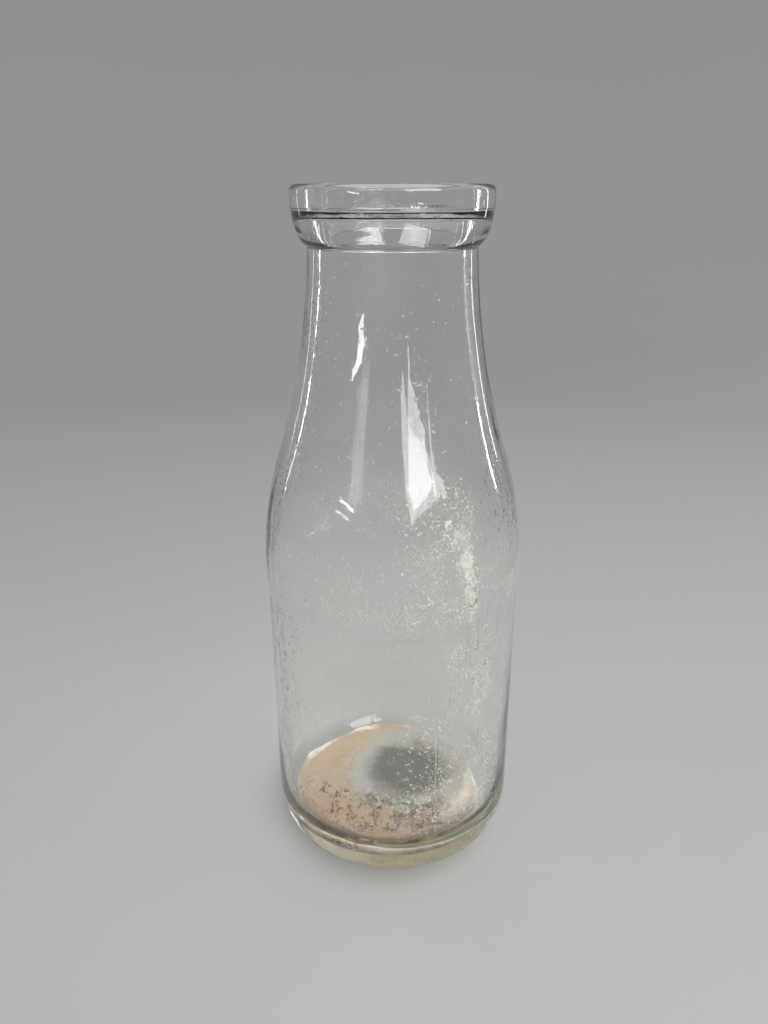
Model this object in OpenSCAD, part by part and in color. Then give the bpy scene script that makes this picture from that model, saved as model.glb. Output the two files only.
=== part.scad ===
// One-pint round milk bottle: one press-and-blow glass moulding with a
// wide mouth, an inner seat for a card disc, and the dried deposits inside it.
// Millimetres, +Z up. The origin is on the axis, on the plane it stands on.

/* [Overall] */
// Height from the standing plane to the top of the lip
height = 210; // [190:1:240]
// Diameter of the straight body, below the contact band
body_d = 79.2; // [72:0.1:90]

/* [Shoulder and neck] */
// Height where the straight side ends and the shoulder starts to turn in
shoulder_z = 100; // [85:1:115]
// Drop from the lip to where the shoulder sweep meets the straight neck
neck_drop = 21.4; // [19:0.1:30]
// Outer diameter of the neck where the sweep meets it
neck_d = 48.3; // [44:0.1:52]
// Lean of the neck's side from upright, in degrees
neck_taper = 3; // [0:0.1:5]
// Share of the sweep's two radii that belongs to the round shoulder
shoulder_share = 0.35; // [0.25:0.01:0.6]

/* [Contact band] */
// How far the band that takes the knocks stands proud of the body
band_proud = 0.35; // [0:0.05:0.6]
// Height of the band's flat, up to the start of the shoulder
band_h = 4.5; // [2:0.1:10]
// Height over which the band fades into the body
band_fade = 3.5; // [1:0.1:8]

/* [Lip] */
// Outer diameter of the lip's bead
bead_d = 56.1; // [54:0.1:60]
// Height of the whole bead
bead_h = 15.5; // [13:0.1:17]
// Height of the bead's upright collar, above the neck-ring joint line
collar_h = 6.2; // [5:0.1:8]
// Step in at the joint line, where the neck ring met the mould
joint_step = 0.3; // [0.1:0.05:0.5]
// Squareness of the curve under the joint line: 2 is a true ellipse
bead_squareness = 1.8; // [1.5:0.05:2.4]
// Radius of the collar's outer top edge
lip_round = 1.8; // [1:0.1:2.5]
// Radius of the mouth's inner top edge
mouth_round = 1; // [0.5:0.1:1.5]

/* [Cap seat] */
// Diameter of the seat for the card disc
seat_d = 44.5; // [43.5:0.1:46]
// Depth of the seat's ledge below the lip
seat_depth = 6.6; // [5:0.1:8]
// Fall of the ledge from its outer to its inner edge
ledge_drop = 1.4; // [0.5:0.1:2]
// Diameter of the throat just below the ledge
throat_d = 39.2; // [37:0.1:41]

/* [Walls] */
// Thickness of the side wall
wall = 3.7; // [2.5:0.1:4.5]
// Thickness of the wall where the sweep meets the neck
neck_wall = 4.3; // [3.5:0.1:5]
// Thickness of the floor at its flat
floor_t = 8.5; // [5:0.1:10]
// Width of the round inner corner between wall and floor
corner_w = 12; // [8:0.5:14]
// Height of the round inner corner
corner_h = 13; // [6:0.5:16]

/* [Base] */
// Width of the rounded heel
heel_w = 14; // [10:0.5:16]
// Height of the rounded heel
heel_h = 18; // [12:0.5:20]
// Squareness of the heel's curve: 2 is a true ellipse
heel_squareness = 2.15; // [2:0.05:2.6]
// Width of the flat ring that the bottle stands on
bearing_w = 2.2; // [1.5:0.1:3]
// Height of the push-up under the floor
push_up = 2.6; // [1:0.1:4]
// Diameter of the round valve mark pressed in the push-up
valve_mark_d = 19; // [14:0.5:24]
// How far the valve mark lies off the axis
valve_mark_shift = 2.5; // [0:0.5:4]
// Width and depth of the valve mark's groove
valve_groove = 0.5; // [0.3:0.1:0.8]

/* [Dried deposits] */
// Depth of the dried crust on the floor and up its corner
crust_t = 1; // [0.6:0.1:2]
// Diameter of the crust's outer edge
crust_d = 64; // [56:0.5:67]
// How far the crust lies off the axis, to the left
crust_shift = 1.7; // [0:0.1:2]
// Diameter of the bare hollow in the middle of the crust
hollow_d = 35; // [20:0.5:36]
// How far the hollow lies off the axis, to the right
hollow_shift_x = 2.5; // [0:0.5:8]
// How far the hollow lies off the axis, to the back
hollow_shift_y = 7.5; // [0:0.5:8]
// Thickness of the chalky film in the hollow
film_t = 0.3; // [0.2:0.05:0.5]
// Thickness of the scale on the inner wall
scale_t = 0.3; // [0.2:0.05:0.5]
// Clearance between the scale's back and the curved wall that it lies on
scale_gap = 0.1; // [0.05:0.05:0.3]
// Height of the scale's lower edge
scale_z = 37; // [22:1:45]
// Height of the scale up the wall
scale_h = 97; // [40:1:100]
// Bearing of the scale's middle, anticlockwise from the right
scale_bearing = -56; // [-70:1:60]
// Angle that the scale covers
scale_sweep = 56; // [20:1:80]

/* [Hidden] */
$fn = 128;
ARC_STEPS = 10;
CUT_PAST = 1;

body_r = body_d / 2;
band_r = body_r + band_proud;
neck_z = height - neck_drop;
bead_z = height - bead_h;
joint_z = height - collar_h;
ledge_z = height - seat_depth;
bearing_r = body_r - heel_w;
hollow_r = bearing_r - bearing_w;

// Points of an arc from angle a0 to a1
function arc(centre, r, a0, a1) =
    [for (i = [0:ARC_STEPS])
        let (a = a0 + (a1 - a0) * i / ARC_STEPS)
        centre + r * [cos(a), sin(a)]];

// Quarter of a superellipse, from straight below its centre to straight out
function quarter(centre, w, h, squareness) =
    [for (i = [0:ARC_STEPS])
        let (a = 90 * i / ARC_STEPS)
        centre + [w * pow(sin(a), 2 / squareness), -h * pow(cos(a), 2 / squareness)]];

// The bottle's long sweep: a round shoulder that leaves the upright side at
// [side_r, shoulder_z], and a longer hollow curve that takes over at the same
// slope and meets the neck at [top_r, neck_z], leaning by taper. reach is the
// sum of both radii, which these two ends settle.
function sweep(side_r, top_r, taper) =
    let (
        lean = [cos(taper), sin(taper)],
        across = [top_r - side_r, neck_z - shoulder_z],
        spread = (1 - shoulder_share) * lean + [shoulder_share, 0],
        along = across * spread,
        spare = 1 - spread * spread,
        reach = across * across / (sqrt(along * along + spare * (across * across)) - along),
        round_r = shoulder_share * reach,
        long_r = reach - round_r,
        round_c = [side_r - round_r, shoulder_z],
        long_c = [top_r, neck_z] + long_r * lean,
        turn = atan2(long_c.y - round_c.y, long_c.x - round_c.x)
    )
    concat(arc(round_c, round_r, 0, turn), arc(long_c, long_r, 180 + turn, 180 + taper));

// Outside of the glass, from the middle of the push-up to the top of the lip
function outer_points() =
    concat(
        [for (i = [0:ARC_STEPS])
            let (share = i / ARC_STEPS)
            [hollow_r * share, push_up * (1 - pow(share, 3))]],
        quarter([bearing_r, heel_h], heel_w, heel_h, heel_squareness),
        [[body_r, shoulder_z - band_h - band_fade], [band_r, shoulder_z - band_h]],
        sweep(band_r, neck_d / 2, neck_taper),
        bead_points()
    );

// The bead: a rounded underside, the joint line, the collar and its top edge
function bead_points() =
    let (
        neck_r = neck_d / 2 - (bead_z - neck_z) * tan(neck_taper),
        under_w = bead_d / 2 - joint_step - neck_r
    )
    concat(
        quarter([neck_r, joint_z], under_w, joint_z - bead_z, bead_squareness),
        [[bead_d / 2, joint_z]],
        arc([bead_d / 2 - lip_round, height - lip_round], lip_round, 0, 90)
    );

// Inside of the glass, from the top of the lip down to the middle of the floor.
// A cut of extra depth, over a layer on the glass, is made with inset.
function inner_points(inset = 0) =
    let (
        side_r = body_r - wall - inset,
        top_r = neck_d / 2 - neck_wall - inset,
        throat_r = throat_d / 2 - inset,
        throat_z = ledge_z - ledge_drop,
        lean = atan2(top_r - throat_r, throat_z - neck_z),
        up = concat(
            [[0, floor_t + inset]],
            quarter([side_r - corner_w, floor_t + inset + corner_h], corner_w, corner_h, 2),
            sweep(side_r, top_r, lean),
            [[throat_r, throat_z], [seat_d / 2 - inset, ledge_z]],
            arc([seat_d / 2 + mouth_round, height - mouth_round], mouth_round, 180, 90)
        )
    )
    [for (i = [len(up) - 1:-1:0]) up[i]];

// The hollow of the bottle as a solid
module cavity(inset = 0) {
    rotate_extrude() polygon(concat(inner_points(inset), [[0, height]]));
}

// Upright cylinder of the bare hollow in the crust
module crust_hollow(h) {
    translate([hollow_shift_x, hollow_shift_y, floor_t]) cylinder(d = hollow_d, h = h);
}

// The moulding: one wall from the push-up over the lip to the floor
module glass_bottle() {
    color([0.80, 0.87, 0.82, 0.35])
    difference() {
        rotate_extrude() polygon(concat(outer_points(), inner_points()));
        translate([valve_mark_shift, 0, 0]) valve_mark();
    }
}

// Round groove that the blank mould's valve leaves under the base
module valve_mark() {
    rotate_extrude()
    translate([valve_mark_d / 2, 0])
    square([valve_groove, push_up + valve_groove / 4]);
}

// Dried milk that set in one skin over the floor and up the corner round it
module floor_crust() {
    color([0.72, 0.64, 0.56])
    difference() {
        intersection() {
            cavity();
            translate([-crust_shift, 0, 0]) cylinder(d = crust_d, h = floor_t + corner_h);
        }
        cavity(crust_t);
        crust_hollow(crust_t + CUT_PAST);
    }
}

// Chalky film on the bare glass inside the crust
module floor_film() {
    color([0.70, 0.71, 0.69])
    intersection() {
        cavity();
        crust_hollow(film_t);
    }
}

// Chalky scale left on one side of the inner wall
module wall_scale() {
    color([0.86, 0.87, 0.84])
    intersection() {
        difference() {
            cavity(scale_gap);
            cavity(scale_gap + scale_t);
        }
        translate([0, 0, scale_z])
        rotate([0, 0, scale_bearing - scale_sweep / 2])
        rotate_extrude(angle = scale_sweep) square([body_r, scale_h]);
    }
}

glass_bottle();
floor_crust();
floor_film();
wall_scale();
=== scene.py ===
"""One-pint glass milk bottle, empty, with the dried deposits of long storage inside it."""

import math

import bmesh
import bpy
import numpy as np
from mathutils import Euler, Matrix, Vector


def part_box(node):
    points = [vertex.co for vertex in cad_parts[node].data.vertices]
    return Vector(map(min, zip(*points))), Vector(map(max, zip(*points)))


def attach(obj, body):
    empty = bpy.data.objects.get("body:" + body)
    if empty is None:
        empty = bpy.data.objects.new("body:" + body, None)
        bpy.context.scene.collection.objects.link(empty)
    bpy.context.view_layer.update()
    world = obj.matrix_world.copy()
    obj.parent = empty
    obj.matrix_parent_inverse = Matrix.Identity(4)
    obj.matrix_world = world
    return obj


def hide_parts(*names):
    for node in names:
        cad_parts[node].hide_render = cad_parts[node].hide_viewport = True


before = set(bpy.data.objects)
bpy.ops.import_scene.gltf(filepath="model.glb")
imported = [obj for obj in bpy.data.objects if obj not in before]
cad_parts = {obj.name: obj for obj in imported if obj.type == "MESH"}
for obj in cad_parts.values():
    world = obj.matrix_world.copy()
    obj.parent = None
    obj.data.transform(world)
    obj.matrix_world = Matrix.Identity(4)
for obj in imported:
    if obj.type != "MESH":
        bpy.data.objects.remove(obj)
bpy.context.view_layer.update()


# ---------------------------------------------------------------- glass bottle
# The whole bottle is one press-and-blow moulding of soda-lime glass: a plunger
# pressed the lip and its cap seat in a neck ring, and air blew the body out
# against two mould halves, which left a hairline seam down the front and back.

mm = 0.001
glass_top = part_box("glass_bottle")[1]
height = glass_top.z
band_r = glass_top.x
band_proud = 0.35 * mm
body_r = band_r - band_proud
band_foot = 91.5 * mm
band_flat = 95.5 * mm
shoulder_z = 100 * mm
neck_z = height - 21.4 * mm
neck_r = 24.15 * mm
neck_taper = 3
bead_r = 28.05 * mm
bead_z = height - 15.5 * mm
bead_squareness = 1.8
joint_z = height - 6.2 * mm
joint_step = 0.3 * mm
joint_h = 0.2 * mm
lip_round = 1.8 * mm
mouth_round = 1 * mm
seat_r = 22.25 * mm
ledge_z = height - 6.6 * mm
throat_r = 19.6 * mm
throat_z = ledge_z - 1.4 * mm
wall = 3.7 * mm
neck_wall = 4.3 * mm
floor_z = 8.5 * mm
corner_w = 12 * mm
corner_h = 13 * mm
heel_w = 14 * mm
heel_h = 18 * mm
heel_squareness = 2.15
bearing_w = 2.2 * mm
bearing_r = body_r - heel_w
hollow_r = bearing_r - bearing_w
push_up = 2.6 * mm
valve_mark_r = 9.7 * mm
valve_mark_shift = 2.5 * mm
valve_mark_depth = 0.22 * mm


def arc(centre, r, start, end, steps):
    """Points of an arc, as radius and height, between two angles in degrees."""
    turn = np.radians(np.linspace(start, end, steps + 1))
    return np.column_stack((centre[0] + r * np.cos(turn), centre[1] + r * np.sin(turn)))


def line(start, end, steps):
    """Points of a straight run."""
    share = np.linspace(0, 1, steps + 1)[:, None]
    return np.array(start) * (1 - share) + np.array(end) * share


def quarter(centre, w, h, squareness, steps):
    """Quarter of a superellipse, from straight below its centre to straight out."""
    turn = np.radians(np.linspace(0, 90, steps + 1))
    return np.column_stack(
        (
            centre[0] + w * np.sin(turn) ** (2 / squareness),
            centre[1] - h * np.cos(turn) ** (2 / squareness),
        )
    )


def sweep(side_r, top_r, taper, share=0.35, steps=26):
    """Round shoulder and hollow curve from the upright side to the leaning neck."""
    lean = np.array([math.cos(math.radians(taper)), math.sin(math.radians(taper))])
    across = np.array([top_r - side_r, neck_z - shoulder_z])
    spread = (1 - share) * lean + np.array([share, 0])
    along = across @ spread
    spare = (1 - spread @ spread) * (across @ across)
    reach = (across @ across) / (math.sqrt(along**2 + spare) - along)
    round_r = share * reach
    round_c = np.array([side_r - round_r, shoulder_z])
    long_c = np.array([top_r, neck_z]) + (reach - round_r) * lean
    turn = math.degrees(math.atan2(long_c[1] - round_c[1], long_c[0] - round_c[0]))
    shoulder = arc(round_c, round_r, 0, turn, steps)
    hollow = arc(long_c, reach - round_r, 180 + turn, 180 + taper, steps)
    return np.vstack((shoulder, hollow[1:]))


def joined(*runs):
    """Runs of points as one line. A number between two runs eases their corner."""
    path, ease = runs[0], 0.0
    for run in runs[1:]:
        if isinstance(run, float):
            ease = run
            continue
        corner = run[0]
        path = path[:-1]
        if ease:
            before = corner + ease * (path[-1] - corner) / np.linalg.norm(path[-1] - corner)
            after = corner + ease * (run[1] - corner) / np.linalg.norm(run[1] - corner)
            share = np.linspace(0, 1, 6)[:, None]
            bend = before * (1 - share) ** 2 + corner * 2 * share * (1 - share) + after * share**2
            path = path[np.linalg.norm(path - corner, axis=1) > ease * 1.1]
            run = run[np.linalg.norm(run - corner, axis=1) > ease * 1.1]
            run = np.vstack((bend, run))
            ease = 0.0
        path = np.vstack((path, run))
    return path


out = np.linspace(0, 1, 28)
push_up_dome = np.column_stack((hollow_r * out, push_up * (1 - out**3)))
bead_foot = (neck_r - (bead_z - neck_z) * math.tan(math.radians(neck_taper)), bead_z)
under_w, under_h = bead_r - joint_step - bead_foot[0], joint_z - bead_z
bead_under = quarter((bead_foot[0], joint_z), under_w, under_h, bead_squareness, 18)
outside = joined(
    push_up_dome,
    0.9 * mm,
    line((hollow_r, 0), (bearing_r, 0), 4),
    quarter((bearing_r, heel_h), heel_w, heel_h, heel_squareness, 22),
    line((body_r, heel_h), (body_r, band_foot), 26),
    1.2 * mm,
    line((body_r, band_foot), (band_r, band_flat), 3),
    1.2 * mm,
    line((band_r, band_flat), (band_r, shoulder_z), 4),
    sweep(band_r, neck_r, neck_taper),
    line((neck_r, neck_z), bead_foot, 4),
    0.9 * mm,
    bead_under,
    0.12 * mm,
    line(bead_under[-1], (bead_r, joint_z + joint_h), 1),
    0.12 * mm,
    line((bead_r, joint_z + joint_h), (bead_r, height - lip_round), 4),
    arc((bead_r - lip_round, height - lip_round), lip_round, 0, 90, 8),
)
cavity_r = body_r - wall
neck_inner_r = neck_r - neck_wall
inner_lean = math.degrees(math.atan2(neck_inner_r - throat_r, throat_z - neck_z))
inside = joined(
    line((0, floor_z), (cavity_r - corner_w, floor_z), 10),
    quarter((cavity_r - corner_w, floor_z + corner_h), corner_w, corner_h, 2, 18),
    line((cavity_r, floor_z + corner_h), (cavity_r, shoulder_z), 20),
    sweep(cavity_r, neck_inner_r, inner_lean),
    line((neck_inner_r, neck_z), (throat_r, throat_z), 5),
    0.5 * mm,
    line((throat_r, throat_z), (seat_r, ledge_z), 4),
    0.3 * mm,
    line((seat_r, ledge_z), (seat_r, height - mouth_round), 5),
    arc((seat_r + mouth_round, height - mouth_round), mouth_round, 180, 90, 6),
)[::-1]

# The lathe's columns of faces crowd together at the two seams.
seams = np.radians([-70.5, 109.5])
near_seam = np.radians([-2, -1.2, -0.7, -0.4, -0.2, -0.08, 0.08, 0.2, 0.4, 0.7, 1.2, 2])
columns_between = 140
turns = [seams[0] + near_seam, seams[1] + near_seam]
for a, b in ((seams[0], seams[1]), (seams[1], seams[0] + 2 * math.pi)):
    turns.append(np.linspace(a + near_seam[-1], b + near_seam[0], columns_between)[1:-1])
turns = np.sort(np.concatenate(turns))


def smooth_step(low, high, x):
    """0 up to low and 1 from high, eased between."""
    share = np.clip((x - low) / (high - low), 0, 1)
    return share * share * (3 - 2 * share)


def uneven(turn, z, seed, most_round, lengths):
    """Slow unevenness of blown glass, from about -1 to 1: seven waves round and up the wall."""
    dice = np.random.default_rng(seed)
    total = 0
    for _ in range(7):
        around = dice.integers(0, most_round + 1)
        up = 2 * math.pi / dice.uniform(*lengths)
        total = total + np.sin(around * turn + up * z * dice.choice((-1, 1)) + dice.uniform(0, 6.3))
    return total / 4


def cavity_shift(turn, z):
    """How far the inner wall lies off its even place: to one side, in waves and in streaks."""
    body = 1 - smooth_step(150 * mm, 196 * mm, z)
    off_centre = -0.45 * mm * np.cos(turn)
    waves = 0.22 * mm * uneven(turn, z, 4, 4, (35 * mm, 110 * mm))
    streaks = 0.022 * mm * uneven(turn, z, 14, 34, (90 * mm, 400 * mm))
    blown = smooth_step(20 * mm, 30 * mm, z) * (1 - smooth_step(190 * mm, 198 * mm, z))
    return (off_centre + waves) * body + streaks * blown


seam_proud, seam_w = 0.05 * mm, 0.22 * mm
seam_dip, seam_dip_w = 0.04 * mm, 1.8 * mm


def outer_shift(turn, r, z):
    """Mould seams, each in a shallow dip, and the slight ripple of a worn iron mould."""
    shift = 0.035 * mm * uneven(turn, z, 9, 9, (9 * mm, 45 * mm))
    for seam in seams:
        away = r * np.angle(np.exp(1j * (turn - seam)))
        seam_on = smooth_step(22 * mm, 40 * mm, z) * (1 - smooth_step(200 * mm, 202.5 * mm, z))
        worn = 1 - 0.8 * np.exp(-(((z - 97 * mm) / (7 * mm)) ** 2))
        shift = shift + seam_on * worn * seam_proud * np.exp(-((away / seam_w) ** 2))
        shift = shift - seam_on * seam_dip * np.exp(-((away / seam_dip_w) ** 2))
    return np.minimum(shift * smooth_step(6 * mm, 20 * mm, z), band_r - r)


def ring(r, z, is_inside):
    """One ring of the lathe, or one point where it meets the axis."""
    if r < 1e-7:
        return np.array([[0, 0, z]])
    if is_inside:
        here = r + cavity_shift(turns, z) * smooth_step(4 * mm, 30 * mm, r)
        rise = np.zeros_like(turns)
    else:
        here = r + outer_shift(turns, r, z)
        x, y = here * np.cos(turns), here * np.sin(turns)
        from_mark = np.abs(np.hypot(x - valve_mark_shift, y) - valve_mark_r)
        groove = (1 - smooth_step(0.12 * mm, 0.42 * mm, from_mark)) * (r < hollow_r)
        rise = valve_mark_depth * groove
    return np.column_stack((here * np.cos(turns), here * np.sin(turns), z + rise))


def lathe(rings):
    """Points and faces of rings joined in order, from one end on the axis to the other."""
    points = np.vstack(rings)
    firsts = np.cumsum([0] + [len(r) for r in rings])
    faces = []
    for k, (low, high) in enumerate(zip(rings[:-1], rings[1:])):
        a, b, n, m = firsts[k], firsts[k + 1], len(low), len(high)
        if n == 1:
            faces += [(a, b + (i + 1) % m, b + i) for i in range(m)]
        elif m == 1:
            faces += [(a + i, a + (i + 1) % n, b) for i in range(n)]
        else:
            faces += [(a + i, a + (i + 1) % n, b + (i + 1) % n, b + i) for i in range(n)]
    return points, faces


def new_piece(name, points, faces):
    """A smooth mesh object at the origin, with its place in its mesh."""
    mesh = bpy.data.meshes.new(name)
    mesh.from_pydata(points.tolist(), [], faces)
    mesh.shade_smooth()
    mesh.validate()
    piece = bpy.data.objects.new(name, mesh)
    bpy.context.scene.collection.objects.link(piece)
    return piece


def feed(tree, socket, value):
    """Links a socket to another, or sets its own value."""
    if isinstance(value, bpy.types.NodeSocket):
        tree.links.new(value, socket)
    else:
        socket.default_value = value


def node_at(tree, kind, place, settings=None, **values):
    """A node with its own settings, and inputs fed by name."""
    node = tree.nodes.new(kind)
    node.location = place
    for key, value in (settings or {}).items():
        setattr(node, key, value)
    for key, value in values.items():
        feed(tree, node.inputs[key.replace("_", " ")], value)
    return node


def reckon(tree, place, operation, *values):
    """A Math node's answer for sockets or numbers."""
    node = node_at(tree, "ShaderNodeMath", place, {"operation": operation})
    for socket, value in zip(node.inputs, values):
        feed(tree, socket, value)
    return node.outputs[0]


def eased(tree, place, value, low, high, to_low=0.0, to_high=1.0):
    """A value's smooth step from low to high."""
    node = node_at(tree, "ShaderNodeMapRange", place, {"interpolation_type": "SMOOTHSTEP"})
    for socket, given in zip(node.inputs, (value, low, high, to_low, to_high)):
        feed(tree, socket, given)
    return node.outputs[0]


def grain(tree, place, vector, scale, detail=2.0, roughness=0.5, distortion=0.0):
    """Noise from 0 to 1, with its scale in bumps per metre."""
    node = node_at(
        tree, "ShaderNodeTexNoise", place,
        Vector=vector, Scale=scale, Detail=detail, Roughness=roughness, Distortion=distortion,
    )
    return node.outputs["Fac"]


def tinted(tree, place, share, low, high):
    """One colour passing into another."""
    node = node_at(tree, "ShaderNodeMix", place, {"data_type": "RGBA"})
    feed(tree, node.inputs[0], share)
    feed(tree, node.inputs[6], low)
    feed(tree, node.inputs[7], high)
    return node.outputs[2]


def stretched(tree, place, vector, scale, turn=(0, 0, 0)):
    """Coordinates turned, then drawn out along an axis."""
    node = node_at(tree, "ShaderNodeMapping", place, Vector=vector, Scale=scale, Rotation=turn)
    return node.outputs[0]


# Clear glass with a faint grey-green tint that shows where it is thick. Its skin
# has small pits and fine scratches, and lamps shine on through it.
glass = bpy.data.materials.new("bottle glass")
glass.use_nodes = True
tree = glass.node_tree
tree.nodes.clear()
where = node_at(tree, "ShaderNodeTexCoord", (-1500, 0)).outputs["Object"]
pits = grain(tree, (-1150, 200), where, 620, 2.5, 0.6)
pits = eased(tree, (-900, 200), pits, 0.60, 0.74, 0, -1)
drawn = stretched(tree, (-1350, -100), where, (1, 1, 0.05), (0.0, 0.06, 0.0))
scratches = grain(tree, (-1150, -100), drawn, 1500, 1.0)
scratches = eased(tree, (-900, -100), scratches, 0.68, 0.75, 0, -0.5)
patchy = grain(tree, (-1150, -350), where, 45, 2.0)
patchy = eased(tree, (-900, -350), patchy, 0.42, 0.62, 0.15, 1)
marks = reckon(tree, (-750, 0), "ADD", pits, scratches)
marks = reckon(tree, (-650, 100), "MULTIPLY", marks, patchy)
rolling = grain(tree, (-900, -600), where, 110, 1.0)
skin = node_at(
    tree, "ShaderNodeBump", (-200, -200), Distance=0.045 * mm,
    Height=reckon(tree, (-450, 0), "ADD", marks, rolling),
)
surface = node_at(
    tree, "ShaderNodeBsdfPrincipled", (100, 0),
    Base_Color=(0.996, 1.0, 0.996, 1), Roughness=0.0, IOR=1.52, Transmission_Weight=1.0,
    Normal=skin.outputs[0],
)
absorb = node_at(
    tree, "ShaderNodeVolumeAbsorption", (100, -450), Density=3.3, Color=(0.68, 0.86, 0.58, 1)
)
open_to_lamps = node_at(
    tree, "ShaderNodeBsdfTransparent", (100, 200), Color=(0.91, 0.92, 0.91, 1)
)
path = node_at(tree, "ShaderNodeLightPath", (100, 600))
mix = node_at(tree, "ShaderNodeMixShader", (500, 0))
output = node_at(tree, "ShaderNodeOutputMaterial", (700, 0), Volume=absorb.outputs[0])
feed(tree, mix.inputs[0], path.outputs["Is Shadow Ray"])
feed(tree, mix.inputs[1], surface.outputs[0])
feed(tree, mix.inputs[2], open_to_lamps.outputs[0])
feed(tree, output.inputs["Surface"], mix.outputs[0])


def scatter_tree():
    """Geometry nodes that strew small flakes over a surface, by its own cover attribute."""
    tree = bpy.data.node_groups.new("strewn flakes", "GeometryNodeTree")
    tree.is_modifier = True
    socket = tree.interface.new_socket
    socket("Surface", in_out="INPUT", socket_type="NodeSocketGeometry")
    for name in ("Flakes Each Square Metre", "Length", "Width", "Thickness", "Turn", "Raggedness"):
        socket(name, in_out="INPUT", socket_type="NodeSocketFloat")
    socket("Seed", in_out="INPUT", socket_type="NodeSocketInt")
    socket("Material", in_out="INPUT", socket_type="NodeSocketMaterial")
    socket("Flakes", in_out="OUTPUT", socket_type="NodeSocketGeometry")
    given = node_at(tree, "NodeGroupInput", (-1400, 0)).outputs
    cover = node_at(tree, "GeometryNodeInputNamedAttribute", (-1400, -400), Name="cover")
    density = reckon(
        tree, (-1100, -200), "MULTIPLY", given["Flakes Each Square Metre"], cover.outputs[0]
    )
    strewn = node_at(
        tree, "GeometryNodeDistributePointsOnFaces", (-900, 0),
        Mesh=given["Surface"], Density=density, Seed=given["Seed"],
    )
    low_size = node_at(
        tree, "FunctionNodeRandomValue", (-900, -400), {"data_type": "FLOAT"}, Seed=given["Seed"]
    )
    feed(tree, low_size.inputs[2], 0.45)
    feed(tree, low_size.inputs[3], 1.0)
    size = reckon(tree, (-700, -400), "POWER", low_size.outputs[1], 2.0)
    spread = node_at(
        tree, "ShaderNodeCombineXYZ", (-700, -200),
        X=given["Length"], Y=given["Width"], Z=given["Thickness"],
    )
    scaled = node_at(tree, "ShaderNodeVectorMath", (-500, -200), {"operation": "SCALE"})
    feed(tree, scaled.inputs[0], spread.outputs[0])
    feed(tree, scaled.inputs["Scale"], size)
    flake = node_at(tree, "GeometryNodeMeshIcoSphere", (-700, 200), Radius=0.5, Subdivisions=1)
    placed = node_at(
        tree, "GeometryNodeInstanceOnPoints", (-300, 0),
        Points=strewn.outputs["Points"], Instance=flake.outputs["Mesh"],
        Rotation=strewn.outputs["Rotation"], Scale=scaled.outputs[0],
    )
    turn = node_at(
        tree, "FunctionNodeRandomValue", (-300, -400), {"data_type": "FLOAT"},
        Seed=reckon(tree, (-500, -500), "ADD", given["Seed"], 1.0),
    )
    feed(tree, turn.inputs[2], reckon(tree, (-500, -650), "MULTIPLY", given["Turn"], -1.0))
    feed(tree, turn.inputs[3], given["Turn"])
    about = node_at(tree, "ShaderNodeCombineXYZ", (-100, -400), Z=turn.outputs[1])
    turned = node_at(
        tree, "GeometryNodeRotateInstances", (-100, 0),
        Instances=placed.outputs[0], Rotation=about.outputs[0],
    )
    real = node_at(tree, "GeometryNodeRealizeInstances", (100, 0), Geometry=turned.outputs[0])
    rough = node_at(tree, "ShaderNodeTexNoise", (-100, -600), Scale=2600.0, Detail=1.0)
    lean = node_at(tree, "ShaderNodeVectorMath", (100, -600), {"operation": "SUBTRACT"})
    feed(tree, lean.inputs[0], rough.outputs["Color"])
    feed(tree, lean.inputs[1], (0.5, 0.5, 0.5))
    shove = node_at(tree, "ShaderNodeVectorMath", (300, -600), {"operation": "SCALE"})
    feed(tree, shove.inputs[0], lean.outputs[0])
    feed(tree, shove.inputs["Scale"], given["Raggedness"])
    ragged = node_at(
        tree, "GeometryNodeSetPosition", (300, 0), Geometry=real.outputs[0], Offset=shove.outputs[0]
    )
    finished = node_at(
        tree, "GeometryNodeSetMaterial", (500, 0),
        Geometry=ragged.outputs[0], Material=given["Material"],
    )
    end = node_at(tree, "NodeGroupOutput", (700, 0))
    feed(tree, end.inputs["Flakes"], finished.outputs[0])
    return tree


def strewn(surface, tree, **inputs):
    """The flakes that the tree strews over a surface, as one mesh."""
    modifier = surface.modifiers.new(tree.name, "NODES")
    modifier.node_group = tree
    for item in tree.interface.items_tree:
        key = item.name.replace(" ", "_")
        if item.in_out == "INPUT" and key in inputs:
            modifier[item.identifier] = inputs[key]
    ready = surface.evaluated_get(bpy.context.evaluated_depsgraph_get())
    mesh = bpy.data.meshes.new_from_object(ready)
    surface.modifiers.remove(modifier)
    return mesh


def wall_sheet(name, bearings, heights, line_points, away, cover):
    """A sheet over part of the wall, away from it, with its cover attribute from 0 to 1."""
    b, z = np.meshgrid(np.radians(bearings), heights)
    r = np.interp(z, line_points[:, 1], line_points[:, 0]) + away
    if line_points is inner_line:
        r = r + cavity_shift(b, z)
    sheet_points = np.column_stack(((r * np.cos(b)).ravel(), (r * np.sin(b)).ravel(), z.ravel()))
    rows, cols = b.shape
    sheet_faces = [
        (row * cols + i, row * cols + i + 1, (row + 1) * cols + i + 1, (row + 1) * cols + i)
        for row in range(rows - 1)
        for i in range(cols - 1)
    ]
    sheet = new_piece(name, sheet_points, sheet_faces)
    field = sheet.data.attributes.new("cover", "FLOAT", "POINT")
    field.data.foreach_set("value", cover(np.degrees(b), z / mm).ravel().astype(np.float32))
    return sheet


def join_meshes(name, meshes):
    """Several meshes as one object."""
    work = bmesh.new()
    for mesh in meshes:
        work.from_mesh(mesh)
    whole = bpy.data.meshes.new(name)
    work.to_mesh(whole)
    work.free()
    piece = bpy.data.objects.new(name, whole)
    bpy.context.scene.collection.objects.link(piece)
    return piece


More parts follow.
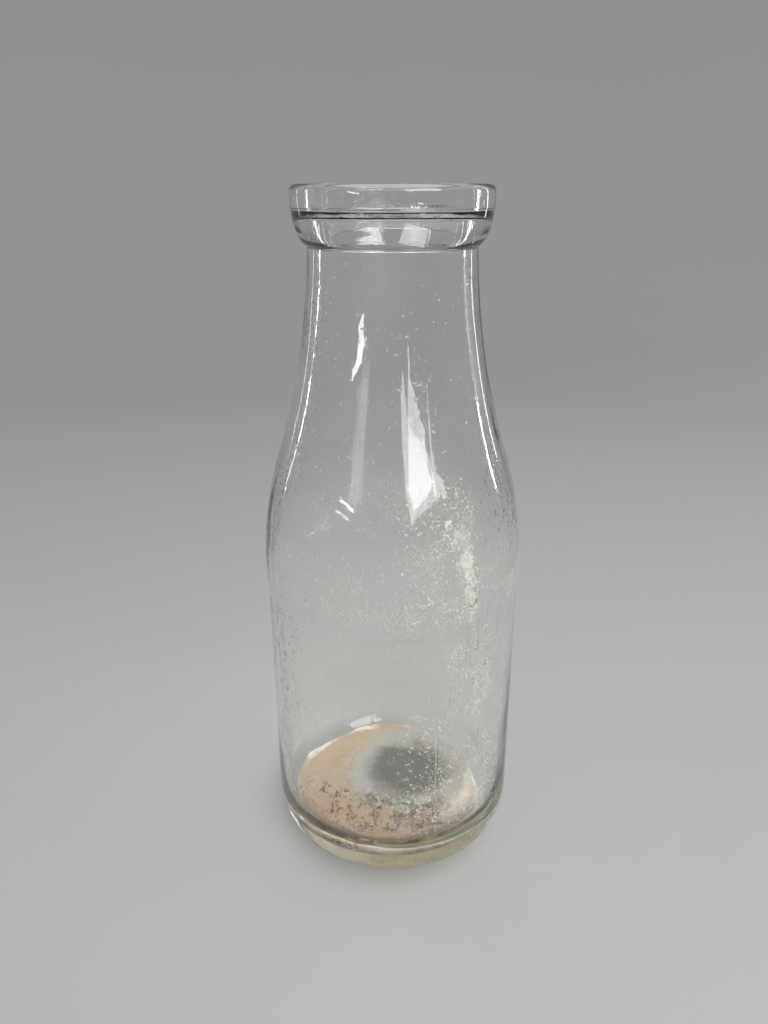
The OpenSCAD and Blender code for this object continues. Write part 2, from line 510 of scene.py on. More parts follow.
# The upright part of the wall's two outlines, from the heel and the corner upwards.
from_heel = np.abs(outside[:, 1] - 20 * mm) + np.abs(outside[:, 0] - body_r)
outer_line = outside[np.argmin(from_heel):]
inner_line = inside[::-1]
inner_line = inner_line[np.argmin(np.abs(inner_line[:, 1] - (floor_z + corner_h))):]

shell_rings = [ring(r, z, False) for r, z in outside] + [ring(r, z, True) for r, z in inside]
shell = new_piece("shell", *lathe(shell_rings))

# A few seeds, the small bubbles of soft old glass, float in the wall. Each is a
# gap in the glass, so its faces point into it.
flakes = scatter_tree()
seed_d, seed_depth = 0.42 * mm, 1.8 * mm
seeded_wall = wall_sheet(
    "seeded wall", np.linspace(-180, 180, 91), np.linspace(24, 176, 77) * mm,
    outer_line, -seed_depth, lambda bearing, z: np.ones_like(z),
)
seeds = strewn(
    seeded_wall, flakes, Flakes_Each_Square_Metre=1400.0, Length=seed_d, Width=seed_d,
    Thickness=seed_d, Turn=3.1, Raggedness=0.0, Seed=12, Material=glass,
)
seeds.flip_normals()
bottle = join_meshes("bottle", [shell.data, seeds])
bpy.data.objects.remove(shell)
bpy.data.objects.remove(seeded_wall)
bottle.data.materials.append(glass)

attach(bottle, "root")
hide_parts("glass_bottle")


# ---------------------------------------------------------------- contact scuffs
# Years of knocking against other bottles have bruised the contact band white: fine
# slivers of crushed glass lie in its skin, and a few more up and down the wall.


def mottled(u, v, seed):
    """Smooth random patches from 0 to 1 on a plane, each about one unit across."""
    side = 97
    table = np.random.default_rng(seed).random((side, side))
    i, j = np.floor(u).astype(int), np.floor(v).astype(int)
    a, b = u - i, v - j
    a, b = a * a * (3 - 2 * a), b * b * (3 - 2 * b)
    i, j, next_i, next_j = i % side, j % side, (i + 1) % side, (j + 1) % side
    low = table[i, j] * (1 - a) + table[next_i, j] * a
    high = table[i, next_j] * (1 - a) + table[next_i, next_j] * a
    return low * (1 - b) + high * b


def patches(bearing, z, size, seed):
    """Smooth random patches over a wall 36 mm from the axis, about size in mm across."""
    return mottled(np.radians(bearing) * 36 / size + 40, z / size + 3, seed)


def scuff_cover(bearing, z):
    """Where the outside is bruised: the contact band most, in uneven stretches."""
    band = smooth_step(90, 97, z) * (1 - smooth_step(106, 118, z))
    stretch = smooth_step(0.30, 0.70, patches(bearing, z, 9, 51)) * 0.9 + 0.1
    return band * stretch * (0.35 + patches(bearing, z, 2.5, 52)) + 0.012


# The bruises lie one to a step in degrees round the band. Their sizes are in mm.
bruise_step = 9.5
bruise_w = 0.28
struck_r = 39.9
struck_z = 99.5


def crescent_cover(bearing, z):
    """The curved bruises, like thumbnails, where other bottles struck the band."""
    dice = np.random.default_rng(54)
    cover = np.zeros_like(bearing)
    for middle in np.arange(-180, 180, bruise_step):
        r, half_sweep = dice.uniform(1.3, 3.0), dice.uniform(35, 80)
        x = np.radians(bearing - middle - dice.uniform(-4, 4)) * struck_r
        y = z - dice.normal(struck_z, 3.2)
        turned = np.abs(np.degrees(np.arctan2(x, -y)) - dice.uniform(-30, 30))
        bruise = np.exp(-(((np.hypot(x, y) - r) / bruise_w) ** 2))
        cover = np.maximum(cover, bruise * (1 - smooth_step(half_sweep, half_sweep + 25, turned)))
    return cover


bruised = bpy.data.materials.new("bruised glass")
bruised.use_nodes = True
tree = bruised.node_tree
surface = tree.nodes["Principled BSDF"]
where = node_at(tree, "ShaderNodeTexCoord", (-900, 0)).outputs["Object"]
crushed = eased(tree, (-450, 100), grain(tree, (-650, 100), where, 240), 0.35, 0.65)
crushed_colour = tinted(tree, (-250, 100), crushed, (0.50, 0.51, 0.47, 1), (0.80, 0.80, 0.76, 1))
dull = eased(tree, (-450, -200), grain(tree, (-650, -200), where, 900), 0.3, 0.7, 0.35, 0.7)
feed(tree, surface.inputs["Base Color"], crushed_colour)
feed(tree, surface.inputs["Roughness"], dull)

sheet = wall_sheet(
    "scuffed wall", np.linspace(-180, 180, 181), np.linspace(22, 184, 163) * mm,
    outer_line, 0.0, scuff_cover,
)
scuff_meshes = [
    strewn(sheet, flakes, Flakes_Each_Square_Metre=1.6e6, Length=0.10 * mm, Width=1.5 * mm,
           Thickness=0.04 * mm, Turn=0.5, Raggedness=0.05 * mm, Seed=3, Material=bruised),
    strewn(sheet, flakes, Flakes_Each_Square_Metre=1.2e6, Length=0.22 * mm, Width=0.3 * mm,
           Thickness=0.05 * mm, Turn=3.1, Raggedness=0.10 * mm, Seed=8, Material=bruised),
]
bpy.data.objects.remove(sheet)
sheet = wall_sheet(
    "struck wall", np.linspace(-180, 180, 721), np.linspace(88, 111, 70) * mm,
    outer_line, 0.0, crescent_cover,
)
scuff_meshes.append(
    strewn(sheet, flakes, Flakes_Each_Square_Metre=12e6, Length=0.45 * mm, Width=0.28 * mm,
           Thickness=0.05 * mm, Turn=3.1, Raggedness=0.12 * mm, Seed=9, Material=bruised)
)
bpy.data.objects.remove(sheet)
scuffs = join_meshes("contact_scuffs", scuff_meshes)
scuffs.data.materials.append(bruised)
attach(scuffs, "root")


# ---------------------------------------------------------------- floor crust
# The last milk dried in a clumped, freckled crust round the floor and up its
# corner: tan at the left, white at the right, broken into islands at the front.

hollow_x, hollow_y = 2.5 * mm, 7.5 * mm
hollow_wide = 17.5 * mm
crust_reach = 32.0 * mm
crust_left = 1.7 * mm
crust_sunk = 0.05 * mm
crust_least = 0.10 * mm
rim_curl = 0.55 * mm


def floor_height(x, y):
    """Height of the glass inside, over the floor and up the round corner."""
    low = inside[::-1]
    low = low[low[:, 1] < floor_z + corner_h]
    r, turn = np.hypot(x, y), np.arctan2(y, x)
    level = np.interp(r, low[:, 0], low[:, 1])
    even_r = r - cavity_shift(turn, level) * smooth_step(4 * mm, 30 * mm, r)
    return np.interp(even_r, low[:, 0], low[:, 1])


def lumps(x, y, size, seed):
    """Smooth random bumps from 0 to 1 over the floor, about size across."""
    return mottled(x / size + 48, y / size + 48, seed)


def wandering(turn, seed, most_round):
    """Slow unevenness of an edge that lies level, from about -1 to 1."""
    return uneven(turn, 0, seed, most_round, (1, 2))


def hollow_edge(turn):
    """Radius of the hollow about its own middle, uneven as the milk dried back."""
    return hollow_wide * (1 + 0.06 * wandering(turn, 21, 5) + 0.02 * wandering(turn, 22, 18))


def bearing_from(turn, bearing):
    """Angle from a bearing in degrees, the short way round."""
    return np.angle(np.exp(1j * (turn - math.radians(bearing))))


def milk_tree():
    """Shader nodes for dried milk: its colour, with painted highlight, shade and light at the rim
    and underneath, grain and specks over the floor and wall.
    """
    tree = bpy.data.node_groups.new("dried milk", "ShaderNodeTree")
    socket = tree.interface.new_socket
    socket("Vector", in_out="INPUT", socket_type="NodeSocketVector")
    for name in ("Specks", "Breaks", "Whiteness"):
        socket(name, in_out="INPUT", socket_type="NodeSocketFloat")
    socket("Color", in_out="OUTPUT", socket_type="NodeSocketColor")
    socket("Height", in_out="OUTPUT", socket_type="NodeSocketFloat")
    given = node_at(tree, "NodeGroupInput", (-2000, 0)).outputs
    where = given["Vector"]

    wander = node_at(
        tree, "ShaderNodeTexNoise", (-1800, -300), Vector=where, Scale=170.0, Detail=3.0
    )
    centred = node_at(tree, "ShaderNodeVectorMath", (-1600, -300), {"operation": "SUBTRACT"})
    feed(tree, centred.inputs[0], wander.outputs["Color"])
    feed(tree, centred.inputs[1], (0.5, 0.5, 0.5))
    shove = node_at(tree, "ShaderNodeVectorMath", (-1400, -300), {"operation": "MULTIPLY_ADD"})
    feed(tree, shove.inputs[0], centred.outputs[0])
    feed(tree, shove.inputs[1], (0.009, 0.009, 0.0))
    feed(tree, shove.inputs[2], where)
    from_hollow = node_at(
        tree, "ShaderNodeMapping", (-1200, -300),
        Vector=shove.outputs[0], Location=(-6.5 / 22, -10.0 / 20.5, 0),
        Scale=(1 / (22 * mm), 1 / (20.5 * mm), 0),
    )
    reach = node_at(tree, "ShaderNodeVectorMath", (-1000, -300), {"operation": "LENGTH"})
    feed(tree, reach.inputs[0], from_hollow.outputs[0])
    reach = reach.outputs["Value"]
    spot = node_at(tree, "ShaderNodeSeparateXYZ", (-1200, -600), Vector=shove.outputs[0])
    across, deep = spot.outputs["X"], spot.outputs["Y"]

    # Its marks run a little longer from front to back than across.
    along = stretched(tree, (-1000, 800), where, (1, 0.65, 1))
    facing = node_at(tree, "ShaderNodeNewGeometry", (-1200, 500)).outputs["Normal"]
    upward = node_at(tree, "ShaderNodeSeparateXYZ", (-1000, 500), Vector=facing).outputs["Z"]
    on_top = eased(tree, (-800, 500), upward, -0.2, 0.1)

    # Thin grey milk in the hollow, then a pale edge, then tan or white crust.
    pale = eased(tree, (-800, -200), reach, 0.48, 0.85)
    thick = eased(tree, (-800, -400), reach, 0.88, 1.14)
    to_right = eased(tree, (-800, -600), across, 12 * mm, 27 * mm)
    to_front = eased(tree, (-800, -800), deep, 2 * mm, -14 * mm)
    to_left = eased(tree, (-800, -1000), across, 6 * mm, -18 * mm)
    left_front = reckon(tree, (-600, -900), "MULTIPLY", to_front, to_left)
    tan = tinted(tree, (-500, -500), to_front, (0.318, 0.236, 0.157, 1), (0.290, 0.220, 0.160, 1))
    tan = tinted(tree, (-300, -500), left_front, tan, (0.308, 0.203, 0.121, 1))
    shade = grain(tree, (-800, 300), where, 260, 4.0, 0.65)
    cream = eased(tree, (-500, 300), shade, 0.35, 0.70, 0.0, 0.55)
    tan = tinted(tree, (-100, -500), cream, tan, (0.38, 0.31, 0.245, 1))
    light = eased(tree, (-500, 100), shade, 0.30, 0.62)
    white = tinted(tree, (-100, -300), light, (0.45, 0.405, 0.355, 1), (0.61, 0.555, 0.49, 1))
    thick_colour = tinted(tree, (100, -400), to_right, tan, white)
    cloudy = grain(tree, (-500, 0), where, 120, 3.0)
    thin_colour = tinted(
        tree, (-300, 0), cloudy, (0.070, 0.068, 0.065, 1), (0.112, 0.108, 0.103, 1)
    )
    pale_colour = tinted(tree, (100, 0), pale, thin_colour, (0.298, 0.284, 0.258, 1))
    colour = tinted(tree, (300, 0), thick, pale_colour, thick_colour)

    # The rim has curled up at the back left, where its pale colour is partly whitish residue and
    # partly a painted highlight. At the front it is thin, with painted shade on its top.
    rim = node_at(
        tree, "ShaderNodeMapping", (300, -700),
        Vector=where, Location=(crust_left, 0, 0), Scale=(1, 1, 0),
    )
    rim_reach = node_at(tree, "ShaderNodeVectorMath", (500, -700), {"operation": "LENGTH"})
    feed(tree, rim_reach.inputs[0], rim.outputs[0])
    rim_reach = rim_reach.outputs["Value"]
    back_left = reckon(
        tree, (500, -900), "MULTIPLY",
        eased(tree, (300, -900), across, -2 * mm, -10 * mm),
        eased(tree, (300, -1100), deep, 6 * mm, 14 * mm),
    )
    at_edge = eased(tree, (600, -900), rim_reach, 29.9 * mm, 30.9 * mm)
    # Painted highlight mixed with pale residue along the back-left edge.
    rim_pale_and_highlight = reckon(tree, (700, -700), "MULTIPLY", at_edge, back_left)
    colour = tinted(tree, (400, -100), rim_pale_and_highlight, colour, (0.56, 0.52, 0.46, 1))
    # Painted shade: the top of the crust darkens towards its front edge.
    outwards = eased(tree, (600, -1300), rim_reach, 22.5 * mm, 31.0 * mm)
    far_front = eased(tree, (500, -1300), deep, -6 * mm, -16 * mm, 0.0, 0.8)
    rim_painted_shade = reckon(tree, (700, -1100), "MULTIPLY", outwards, far_front)
    rim_painted_shade = reckon(tree, (900, -1100), "MULTIPLY", rim_painted_shade, on_top)
    colour = tinted(tree, (400, -200), rim_painted_shade, colour, (0.105, 0.088, 0.068, 1))

    # Underneath, where it dried against the glass, the crust is paler, and a painted light makes it
    # palest at the left.
    painted_light_across = eased(tree, (100, -700), across, -22 * mm, 20 * mm)
    below = tinted(tree, (300, -500), painted_light_across, (0.52, 0.50, 0.50, 1), (0.265, 0.255, 0.242, 1))
    underneath = eased(tree, (450, -500), upward, 0.1, -0.2, 0.0, 0.7)
    colour = tinted(tree, (450, -300), underneath, colour, below)

    # The front of the crust is broken into islands with grey gaps.
    in_front = eased(tree, (-700, 900), deep, 1 * mm, -7 * mm)
    for step, (axis, low, high) in enumerate(
        ((across, -17 * mm, -8 * mm), (deep, -26 * mm, -18 * mm), (across, 22 * mm, 12 * mm))
    ):
        side = eased(tree, (-700 + 150 * step, 1100), axis, low, high)
        in_front = reckon(tree, (-500 + 150 * step, 900), "MULTIPLY", in_front, side)
    breaks = grain(tree, (-800, 700), along, 250, 5.0, 0.72, 0.6)
    gap = reckon(tree, (-300, 700), "MULTIPLY", in_front, given["Breaks"])
    gap = reckon(
        tree, (-100, 800), "MULTIPLY", gap, eased(tree, (-500, 700), breaks, 0.490, 0.520)
    )
    fine = grain(tree, (300, 1700), along, 980, 2.0, 0.6)
    gritty = eased(tree, (100, -100), fine, 0.50, 0.60)
    gap_colour = tinted(
        tree, (300, -100), gritty, (0.165, 0.142, 0.114, 1), (0.082, 0.058, 0.040, 1)
    )
    colour = tinted(tree, (500, 100), gap, colour, gap_colour)

    # White crystals stand on the thin milk, and dark specks lie in the tan.
    crystals = grain(tree, (-100, 500), along, 880, 2.0, 0.7)
    crystals = reckon(
        tree, (300, 500), "MULTIPLY",
        eased(tree, (100, 500), crystals, 0.615, 0.65),
        eased(tree, (100, 700), across, -2 * mm, 9 * mm),
    )
    colour = tinted(tree, (700, 200), crystals, colour, (0.52, 0.50, 0.45, 1))
    freckled = reckon(
        tree, (100, 1100), "MULTIPLY",
        eased(tree, (-100, 1100), deep, 7 * mm, 0.5 * mm),
        eased(tree, (-100, 1300), across, -5 * mm, -13 * mm),
    )
    on_islands = reckon(tree, (100, 900), "MULTIPLY", in_front, 0.7)
    on_thick = reckon(tree, (300, 1100), "MULTIPLY", thick, 0.25)
    speck_place = reckon(tree, (300, 900), "MAXIMUM", freckled, on_islands)
    speck_place = reckon(tree, (500, 900), "MAXIMUM", speck_place, on_thick)
    crowd = eased(tree, (200, 1300), grain(tree, (100, 1300), where, 230, 3.0), 0.42, 0.62)
    crowd = reckon(tree, (300, 1500), "MULTIPLY", crowd, 0.22)
    allowed = reckon(tree, (300, 1300), "MULTIPLY", speck_place, crowd)
    bar = reckon(tree, (500, 1300), "SUBTRACT", 0.72, allowed)
    over_bar = reckon(tree, (600, 1500), "SUBTRACT", fine, bar)
    speck = reckon(
        tree, (900, 900), "MULTIPLY", given["Specks"], eased(tree, (700, 1100), over_bar, 0.0, 0.03)
    )
    colour = tinted(tree, (1000, 300), speck, colour, (0.085, 0.060, 0.040, 1))

    # On the wall it is plain chalk, with a little dirt down the streak's right edge.
    chalk = tinted(tree, (1000, 0), light, (0.42, 0.40, 0.355, 1), (0.64, 0.62, 0.57, 1))
    dirt = eased(tree, (800, 700), across, 20.8 * mm, 22.6 * mm)
    for step, side in enumerate(
        (
            eased(tree, (800, 500), deep, -18 * mm, -22 * mm),
            eased(tree, (1000, 900), spot.outputs["Z"], 84 * mm, 92 * mm),
            eased(tree, (1200, 900), fine, 0.50, 0.60, 0.0, 0.8),
        )
    ):
        dirt = reckon(tree, (1000 + 200 * step, 700), "MULTIPLY", dirt, side)
    chalk = tinted(tree, (1200, 0), dirt, chalk, (0.170, 0.138, 0.104, 1))
    colour = tinted(tree, (1400, 300), given["Whiteness"], colour, chalk)

    fine_height = reckon(tree, (500, -300), "MULTIPLY", fine, 0.5)
    gap_depth = reckon(tree, (800, -500), "MULTIPLY", gap, 0.8)
    height = reckon(tree, (700, -300), "ADD", shade, fine_height)
    height = reckon(tree, (1000, -300), "SUBTRACT", height, gap_depth)
    end = node_at(tree, "NodeGroupOutput", (1500, 0))
    feed(tree, end.inputs["Color"], colour)
    feed(tree, end.inputs["Height"], height)
    return tree


milk_group = milk_tree()


def milk_material(name, specks, breaks, whiteness, relief, soft, soft_colour, soft_depth):
    """Dried milk, dull and chalky, with its share of each mark and how far light sinks in."""
    material = bpy.data.materials.new(name)
    material.use_nodes = True
    tree = material.node_tree
    where = node_at(tree, "ShaderNodeTexCoord", (-900, 0)).outputs["Object"]
    milk = node_at(
        tree, "ShaderNodeGroup", (-600, 0), {"node_tree": milk_group},
        Vector=where, Specks=specks, Breaks=breaks, Whiteness=whiteness,
    ).outputs
    bump = node_at(tree, "ShaderNodeBump", (-300, -200), Distance=relief, Height=milk["Height"])
    roughness = eased(tree, (-300, -450), milk["Height"], 0.3, 1.1, 0.95, 0.72)
    surface = tree.nodes["Principled BSDF"]
    for socket, value in (
        ("Base Color", milk["Color"]),
        ("Normal", bump.outputs[0]),
        ("Roughness", roughness),
        ("Specular IOR Level", 0.3),
        ("Subsurface Weight", soft),
        ("Subsurface Radius", soft_colour),
        ("Subsurface Scale", soft_depth),
    ):
        feed(tree, surface.inputs[socket], value)
    return material


crust_columns, crust_rows = 420, 50
turn = np.linspace(0, 2 * math.pi, crust_columns, endpoint=False)[None, :]
share = np.linspace(0, 1, crust_rows)[:, None] ** 1.15
rim_edge = crust_reach * (1 + 0.012 * wandering(turn, 23, 5) + 0.006 * wandering(turn, 24, 34))
rim_edge = rim_edge - crust_left * np.cos(turn + math.radians(10))
rim_edge = rim_edge + 2.3 * mm * np.exp(-((bearing_from(turn, -90) / math.radians(60)) ** 4))
rim_edge = rim_edge - 1.5 * mm * np.exp(-((bearing_from(turn, 129) / math.radians(15)) ** 2))
x = (hollow_x + hollow_edge(turn) * np.cos(turn)) * (1 - share) + rim_edge * np.cos(turn) * share
y = (hollow_y + hollow_edge(turn) * np.sin(turn)) * (1 - share) + rim_edge * np.sin(turn) * share
bed = floor_height(x, y) - crust_sunk

# Its thickness: lumps all over, islands at the front, and a rim curled up at the back left.
rise = smooth_step(0.0, 0.35, share) * (1 - smooth_step(0.93, 1.0, share))
rough = 0.5 * lumps(x, y, 2.6 * mm, 31) + 0.3 * lumps(x, y, 1.2 * mm, 32)
rough = rough + 0.2 * lumps(x, y, 0.6 * mm, 33)
front = smooth_step(-2 * mm, -10 * mm, y) * smooth_step(-20 * mm, -8 * mm, x)
island = 0.65 * lumps(x, y, 2.2 * mm, 35) + 0.35 * lumps(x, y, 0.9 * mm, 36)
island = smooth_step(0.42, 0.56, island)
thickness = crust_least + rise * mm * (0.22 + 0.55 * rough) * (1 - front * 0.75 * (1 - island))
curled = np.exp(-((bearing_from(turn, 137) / math.radians(38)) ** 2))
at_rim = smooth_step(0.88, 0.96, share) * (1 - smooth_step(0.985, 1.0, share))
thickness = thickness + rim_curl * curled * at_rim
top = bed + thickness
crust_points = np.vstack(
    [np.column_stack((x.ravel(), y.ravel(), level.ravel())) for level in (top, bed)]
)
half = crust_columns * crust_rows
crust_faces = []
for row in range(crust_rows - 1):
    for i in range(crust_columns):
        a, b = row * crust_columns + i, row * crust_columns + (i + 1) % crust_columns
        c, d = b + crust_columns, a + crust_columns
        crust_faces += [(a, d, c, b), (half + a, half + b, half + c, half + d)]
rim = half - crust_columns
for i in range(crust_columns):
    after = (i + 1) % crust_columns
    crust_faces += [(i, after, half + after, half + i)]
    crust_faces += [(rim + after, rim + i, half + rim + i, half + rim + after)]
crust = new_piece("dried_crust", crust_points, crust_faces)
dried_crust = milk_material(
    "dried crust", specks=1.0, breaks=1.0, whiteness=0.0, relief=0.35 * mm,
    soft=0.8, soft_colour=(1.0, 0.9, 0.7), soft_depth=1.2 * mm,
)
crust.data.materials.append(dried_crust)
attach(crust, "root")
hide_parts("floor_crust")


# ---------------------------------------------------------------- floor film
# Inside the crust the milk dried to a thin grey film on the glass, which runs a
# little way under the crust and carries a few white crystals.

film_columns, film_rows = 160, 34
film_sunk, film_top, film_tuck = 0.04 * mm, 0.07 * mm, 0.9 * mm
film_turn = np.linspace(0, 2 * math.pi, film_columns, endpoint=False)
film_rings = []
for level in (-film_sunk, film_top):
    rings = [np.array([[hollow_x, hollow_y, floor_z + level]])]
    for share in np.linspace(0, 1, film_rows)[1:]:
        out = share * (hollow_edge(film_turn) + film_tuck)
        x, y = hollow_x + out * np.cos(film_turn), hollow_y + out * np.sin(film_turn)
        wrinkle = 0.03 * mm * (lumps(x, y, 1.4 * mm, 41) - 0.5) * (level > 0) * (share < 0.93)
        rings.append(np.column_stack((x, y, floor_height(x, y) + level + wrinkle)))
    film_rings.append(rings)
film = new_piece("dried_film", *lathe(film_rings[0] + film_rings[1][::-1]))
dried_film = milk_material(
    "dried film", specks=0.6, breaks=1.0, whiteness=0.0, relief=0.10 * mm,
    soft=0.8, soft_colour=(1.0, 0.9, 0.7), soft_depth=1.0 * mm,
)
film.data.materials.append(dried_film)
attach(film, "root")
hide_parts("floor_film")


# ---------------------------------------------------------------- wall scale
# Milk that ran down the side as the bottle lay stored dried to chalky scale: a dense
# ragged streak on the right, thinning to chips and dust, and flecks all round.


def ramp(value, low, high):
    """A soft window: 0 outside low to high, 1 well inside it."""
    edge = (high - low) * 0.3
    return smooth_step(low, low + edge, value) * (1 - smooth_step(high - edge, high, value))


def streak_cover(bearing, z):
    """The dense streak, which tapers to its foot, under a thin patchy veil."""
    middle = -56.0 + 0.13 * (116 - z) + 1.2 * np.sin(z / 7)
    across = np.abs(bearing - middle + 3.0 * (patches(bearing, z, 4.0, 61) - 0.5))
    wide = 6.5 * smooth_step(87, 108, z) ** 0.6 * (1 - smooth_step(114, 127, z)) ** 0.5
    worn = 0.46 + 0.46 * patches(bearing, z, 2.6, 60)
    ends = smooth_step(87, 97, z) * (1 - smooth_step(116, 126, z))
    dense = (1 - smooth_step(wide * 0.35, wide + 1.5, across)) * ends * worn
    blotch = 0.6 * patches(bearing, z, 3.4, 58) + 0.4 * patches(bearing, z, 1.5, 59)
    blotch = smooth_step(0.42, 0.80, blotch)
    veil = ramp(bearing, -74, -49) * ramp(z, 112, 137) * blotch * 0.72
    return np.maximum(dense, veil)


def chip_cover(bearing, z):
    """Where chips and dust lie round the streak and below it."""
    clump = 0.6 * patches(bearing, z, 5.0, 62) + 0.4 * patches(bearing, z, 1.8, 63)
    clump = smooth_step(0.30, 0.75, clump)
    upper = ramp(bearing, -90, -44) * ramp(z, 86, 137) * (0.55 + 0.45 * smooth_step(108, 124, z))
    veil = ramp(bearing, -69, -46) * ramp(z, 84, 132) * 0.9
    lower = ramp(bearing, -70, -30) * ramp(z, 52, 94) * (0.55 + 0.7 * ramp(bearing, -54, -36))
    foot = ramp(bearing, -84, -22) * ramp(z, 14, 72) * 0.42
    heavy = ramp(bearing, -54, -36) * ramp(z, 34, 66) * 0.55
    field = np.maximum.reduce([upper, veil, lower, foot, heavy])
    return field * (0.12 + 0.88 * clump) + 0.9 * streak_cover(bearing, z)


def fleck_cover(bearing, z):
    """Stray flecks on the whole inner wall."""
    return 0.25 + 0.75 * smooth_step(0.4, 0.8, patches(bearing, z, 12.0, 64))


chalk = milk_material(
    "chalky scale", specks=0.5, breaks=0.0, whiteness=1.0, relief=0.12 * mm,
    soft=0.5, soft_colour=(1.0, 0.95, 0.85), soft_depth=0.4 * mm,
)
chip_clear = 0.02 * mm
streak_sunk = 0.03 * mm

# The streak is a crust: cells of the wall stand up where their cover beats the grit.
b, z = np.meshgrid(np.linspace(-76, -42, 106), np.linspace(86, 138, 226) * mm)
dice = np.random.default_rng(66)
grit = 0.30 * patches(b, z / mm, 1.1, 67) + 0.32 * patches(b, z / mm, 0.5, 68)
grit = grit + 0.38 * dice.random(b.shape)
cover = streak_cover(b, z / mm)
r = np.interp(z, inner_line[:, 1], inner_line[:, 0]) + cavity_shift(np.radians(b), z)
ragged_b = np.radians(b + dice.uniform(-0.10, 0.10, b.shape))
ragged_z = z + dice.uniform(-0.07, 0.07, b.shape) * mm
streak_points = []
for level in (r + streak_sunk, r - (0.05 + 0.16 * grit * cover) * mm):
    x, y = level * np.cos(ragged_b), level * np.sin(ragged_b)
    streak_points.append(np.column_stack((x.ravel(), y.ravel(), ragged_z.ravel())))
rows, cols = b.shape
cell = (cover > grit + 0.08)[:-1, :-1]
back = rows * cols
streak_faces = []
for row, col in zip(*np.nonzero(cell)):
    a = row * cols + col
    quad = (a, a + 1, a + cols + 1, a + cols)
    streak_faces += [quad, tuple(back + i for i in quad[::-1])]
    for (drow, dcol), (p, q) in zip(
        ((-1, 0), (0, 1), (1, 0), (0, -1)), ((0, 1), (1, 2), (2, 3), (3, 0))
    ):
        near_row, near_col = row + drow, col + dcol
        inside_grid = 0 <= near_row < rows - 1 and 0 <= near_col < cols - 1
        if not (inside_grid and cell[near_row, near_col]):
            streak_faces.append((quad[q], quad[p], back + quad[p], back + quad[q]))
streak = new_piece("streak", np.vstack(streak_points), streak_faces)
work = bmesh.new()
work.from_mesh(streak.data)
bmesh.ops.delete(work, geom=[v for v in work.verts if not v.link_faces], context="VERTS")
work.to_mesh(streak.data)
work.free()

sheet = wall_sheet(
    "scaled wall", np.linspace(-92, -18, 149), np.linspace(19, 138, 239) * mm,
    inner_line, -chip_clear, chip_cover,
)
scale_meshes = [
    streak.data,
    strewn(sheet, flakes, Flakes_Each_Square_Metre=1.2e6, Length=0.75 * mm, Width=0.55 * mm,
           Thickness=0.18 * mm, Turn=3.1, Raggedness=0.22 * mm, Seed=21, Material=chalk),
    strewn(sheet, flakes, Flakes_Each_Square_Metre=8.5e6, Length=0.32 * mm, Width=0.26 * mm,
           Thickness=0.08 * mm, Turn=3.1, Raggedness=0.10 * mm, Seed=22, Material=chalk),
]
bpy.data.objects.remove(sheet)
sheet = wall_sheet(
    "flecked wall", np.linspace(-180, 180, 181), np.linspace(20, 196, 177) * mm,
    inner_line, -chip_clear, fleck_cover,
)
scale_meshes.append(
    strewn(sheet, flakes, Flakes_Each_Square_Metre=0.035e6, Length=0.75 * mm, Width=0.30 * mm,
           Thickness=0.12 * mm, Turn=3.1, Raggedness=0.2 * mm, Seed=23, Material=chalk)
)
bpy.data.objects.remove(sheet)
scale = join_meshes("chalky_scale", scale_meshes)
bpy.data.objects.remove(streak)
scale.data.materials.append(chalk)
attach(scale, "root")
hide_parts("wall_scale")


# ---------------------------------------------------------------- studio
# A round table of pale paper whose edge curves up into a high wall on every side. A
# window lights it from the front right, a low far one from the left, and a broad soft
# light hangs over it. Two upright strips behind draw the bottle's edges.

table_r, wall_r, wall_h = 1.1, 1.45, 2.1
bowl_line = joined(
    line((0.0, 0.0), (table_r, 0.0), 12),
    0.4,
    line((table_r, 0.0), (wall_r, wall_h), 8),
)
bowl_turn = np.linspace(0, 2 * math.pi, 96, endpoint=False)
bowl_rings = [np.zeros((1, 3))]
for r, z in bowl_line[1:]:
    x, y = r * np.cos(bowl_turn), r * np.sin(bowl_turn)
    bowl_rings.append(np.column_stack((x, y, np.full_like(x, z))))
points, faces = lathe(bowl_rings)
bowl = new_piece("table", points, [face[::-1] for face in faces])
paper = bpy.data.materials.new("pale paper")
paper.use_nodes = True
surface = paper.node_tree.nodes["Principled BSDF"]
surface.inputs["Base Color"].default_value = (0.42, 0.417, 0.412, 1)
surface.inputs["Roughness"].default_value = 0.95
bowl.data.materials.append(paper)

lamp_away = 0.95
lamp_aim = np.array((0, 0, 0.14))


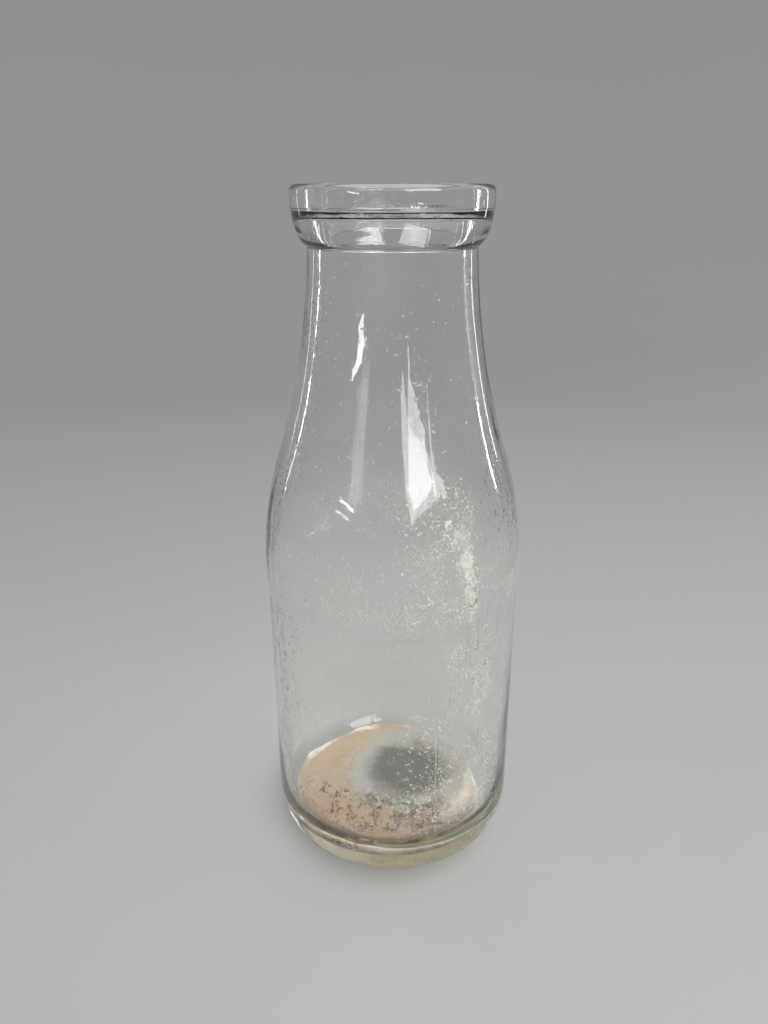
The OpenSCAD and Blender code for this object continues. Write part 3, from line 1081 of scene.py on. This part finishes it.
def soft_light(name, bearing, elevation, wide, tall, radiance, roll=0):
    """A rectangular soft light that looks at the bottle's shoulder. Its bearing runs from
    the front to the right, and its width and height are the angles that they fill."""
    b, e = math.radians(bearing), math.radians(elevation)
    towards = np.array((math.sin(b) * math.cos(e), -math.cos(b) * math.cos(e), math.sin(e)))
    lamp = bpy.data.lights.new(name, "AREA")
    lamp.shape = "RECTANGLE"
    lamp.size = 2 * lamp_away * math.tan(math.radians(wide / 2))
    lamp.size_y = 2 * lamp_away * math.tan(math.radians(tall / 2))
    lamp.energy = radiance * math.pi * lamp.size * lamp.size_y
    holder = bpy.data.objects.new(name, lamp)
    holder.location = lamp_aim + lamp_away * towards
    facing = Euler((math.radians(90) - e, 0, b)).to_matrix()
    facing = facing @ Matrix.Rotation(math.radians(roll), 3, "Z")
    holder.rotation_euler = facing.to_euler()
    holder.visible_camera = False
    bpy.context.scene.collection.objects.link(holder)


soft_light("window", 33, 25.5, 38, 27, 7.2, roll=15)
soft_light("far window", -42, 6.8, 14, 1.4, 14.0, roll=-7)
soft_light("far wall", -34, 17, 12, 16, 1.5)
soft_light("rear strip right", 126, 12, 2.2, 56, 7.0)
soft_light("rear strip left", -126, 12, 1.4, 56, 4.5)
soft_light("overhead", 0, 84, 62, 62, 1.8)

world = bpy.data.worlds.new("studio")
world.use_nodes = True
sky = world.node_tree.nodes["Background"]
sky.inputs["Color"].default_value = (0.95, 0.98, 1.0, 1)
sky.inputs["Strength"].default_value = 0.37
bpy.context.scene.world = world


# ---------------------------------------------------------------- camera
# Held by hand close in front of the bottle, level with its lip and tipped down.

camera_data = bpy.data.cameras.new("camera")
camera_data.lens = 28.85
camera_data.sensor_width = 36
camera_data.shift_x = -0.0083
camera = bpy.data.objects.new("camera", camera_data)
camera.location = (0, -0.2391, 0.2091)
camera.rotation_euler = (math.radians(90 - 21.59), 0, 0)
bpy.context.scene.collection.objects.link(camera)
bpy.context.scene.camera = camera
bpy.context.scene.view_settings.view_transform = "Standard"
